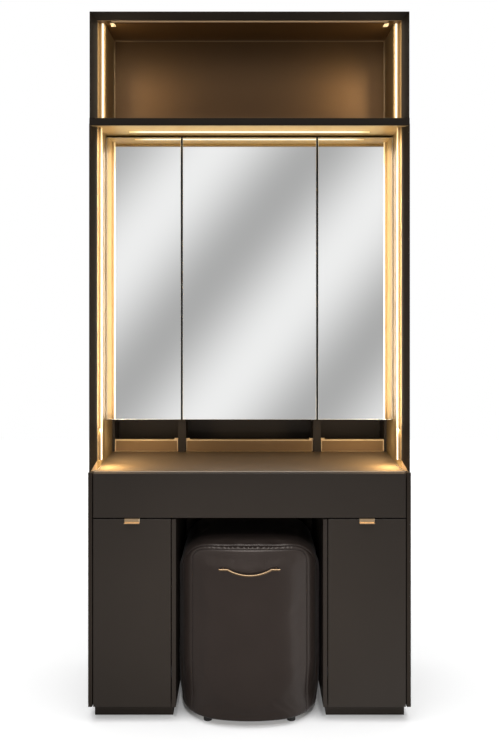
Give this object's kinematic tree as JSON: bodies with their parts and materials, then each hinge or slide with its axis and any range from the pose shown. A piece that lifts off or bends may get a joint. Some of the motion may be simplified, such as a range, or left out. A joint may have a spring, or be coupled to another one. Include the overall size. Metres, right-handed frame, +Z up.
{
  "type": "makeup table",
  "caption": "Tall makeup table with a lit mirror hutch, hinged wing mirrors, open cubby, vanity drawer, tall pull-outs beside a kneehole, and a matching upholstered stool.",
  "frame": {"origin": "on the floor under the middle of the whole set's bounding box", "axes": "+Z up; the fronts and mirrors face -Y; +X is to the right for someone facing the table"},
  "size_m": [0.97, 0.481, 2.1445],
  "materials": {
    "dark_lacquer": "matte",
    "bronze_lacquer": "satin",
    "bronze_metal": "satin",
    "mirror_glass": "polished",
    "steel": "satin",
    "aluminium": "satin",
    "light": "matte",
    "light_tape": "satin",
    "birch": "satin",
    "leather": "satin",
    "black_plastic": "matte"
  },
  "bodies": {
    "cabinet": {"base_back": "dark_lacquer", "base_left_side": "dark_lacquer", "base_right_side": "dark_lacquer", "cabinet_dividers": "dark_lacquer", "cabinet_floor": "dark_lacquer", "cable_grommet": "black_plastic", "ceiling_bar": "bronze_metal", "ceiling_clips": "bronze_metal", "cubby_back_panel": "dark_lacquer", "cubby_bead": "bronze_metal", "cubby_left_side": "dark_lacquer", "cubby_linings": "bronze_lacquer", "cubby_right_side": "dark_lacquer", "cubby_top": "dark_lacquer", "desktop": "bronze_lacquer", "drawer_deck": "dark_lacquer", "hinge_pins": "steel", "hutch_back": "dark_lacquer", "hutch_left_side": "dark_lacquer", "hutch_right_side": "dark_lacquer", "hutch_shelf": "dark_lacquer", "left_hinge_fixed_leaf": "steel", "right_hinge_fixed_leaf": "steel", "left_pedestal_side": "dark_lacquer", "right_pedestal_side": "dark_lacquer", "light_channels": "aluminium", "light_diffusers": "light", "light_driver": "black_plastic", "light_tapes": "light_tape", "middle_mirror_board": "dark_lacquer", "middle_mirror_glass": "mirror_glass", "niche_partitions": "dark_lacquer", "niche_rails": "bronze_lacquer", "pedestal_floors": "dark_lacquer", "plinths": "dark_lacquer", "service_cover": "dark_lacquer", "slide_channels": "steel", "wing_shelves": "dark_lacquer"},
    "vanity_drawer": {"drawer_front": "dark_lacquer", "drawer_walls": "birch", "drawer_bottom": "birch", "drawer_slide_bars": "steel"},
    "left_pullout": {"left_pullout_front": "dark_lacquer", "left_tab_pull": "bronze_metal", "left_pullout_box": "birch", "left_pullout_slide_bars": "steel"},
    "right_pullout": {"right_pullout_front": "dark_lacquer", "right_tab_pull": "bronze_metal", "right_pullout_box": "birch", "right_pullout_slide_bars": "steel"},
    "left_wing": {"left_mirror_glass": "mirror_glass", "left_mirror_board": "dark_lacquer", "left_hinge_wing_leaf": "steel"},
    "right_wing": {"right_mirror_glass": "mirror_glass", "right_mirror_board": "dark_lacquer", "right_hinge_wing_leaf": "steel"},
    "stool": {"stool_upholstery": "leather", "stool_carcass": "birch", "stool_feet": "black_plastic", "stool_handle": "bronze_metal"}
  },
  "joints": [
    {"name": "vanity_drawer_slide", "type": "slide", "parent": "cabinet", "child": "vanity_drawer", "axis": [0, -1, 0], "range_m": [0, 0.3]},
    {"name": "left_pullout_slide", "type": "slide", "parent": "cabinet", "child": "left_pullout", "axis": [0, -1, 0], "range_m": [0, 0.3]},
    {"name": "right_pullout_slide", "type": "slide", "parent": "cabinet", "child": "right_pullout", "axis": [0, -1, 0], "range_m": [0, 0.3]},
    {"name": "left_wing_hinge", "type": "hinge", "parent": "cabinet", "child": "left_wing", "pos_m": [-0.22, 0.0188, 1.334], "axis": [0, 0, 1], "range_deg": [0, 90]},
    {"name": "right_wing_hinge", "type": "hinge", "parent": "cabinet", "child": "right_wing", "pos_m": [0.22, 0.0188, 1.334], "axis": [0, 0, -1], "range_deg": [0, 90]},
    {"name": "stool_pull", "type": "slide", "parent": "cabinet", "child": "stool", "axis": [0, -1, 0], "range_m": [0, 0.45]}
  ]
}
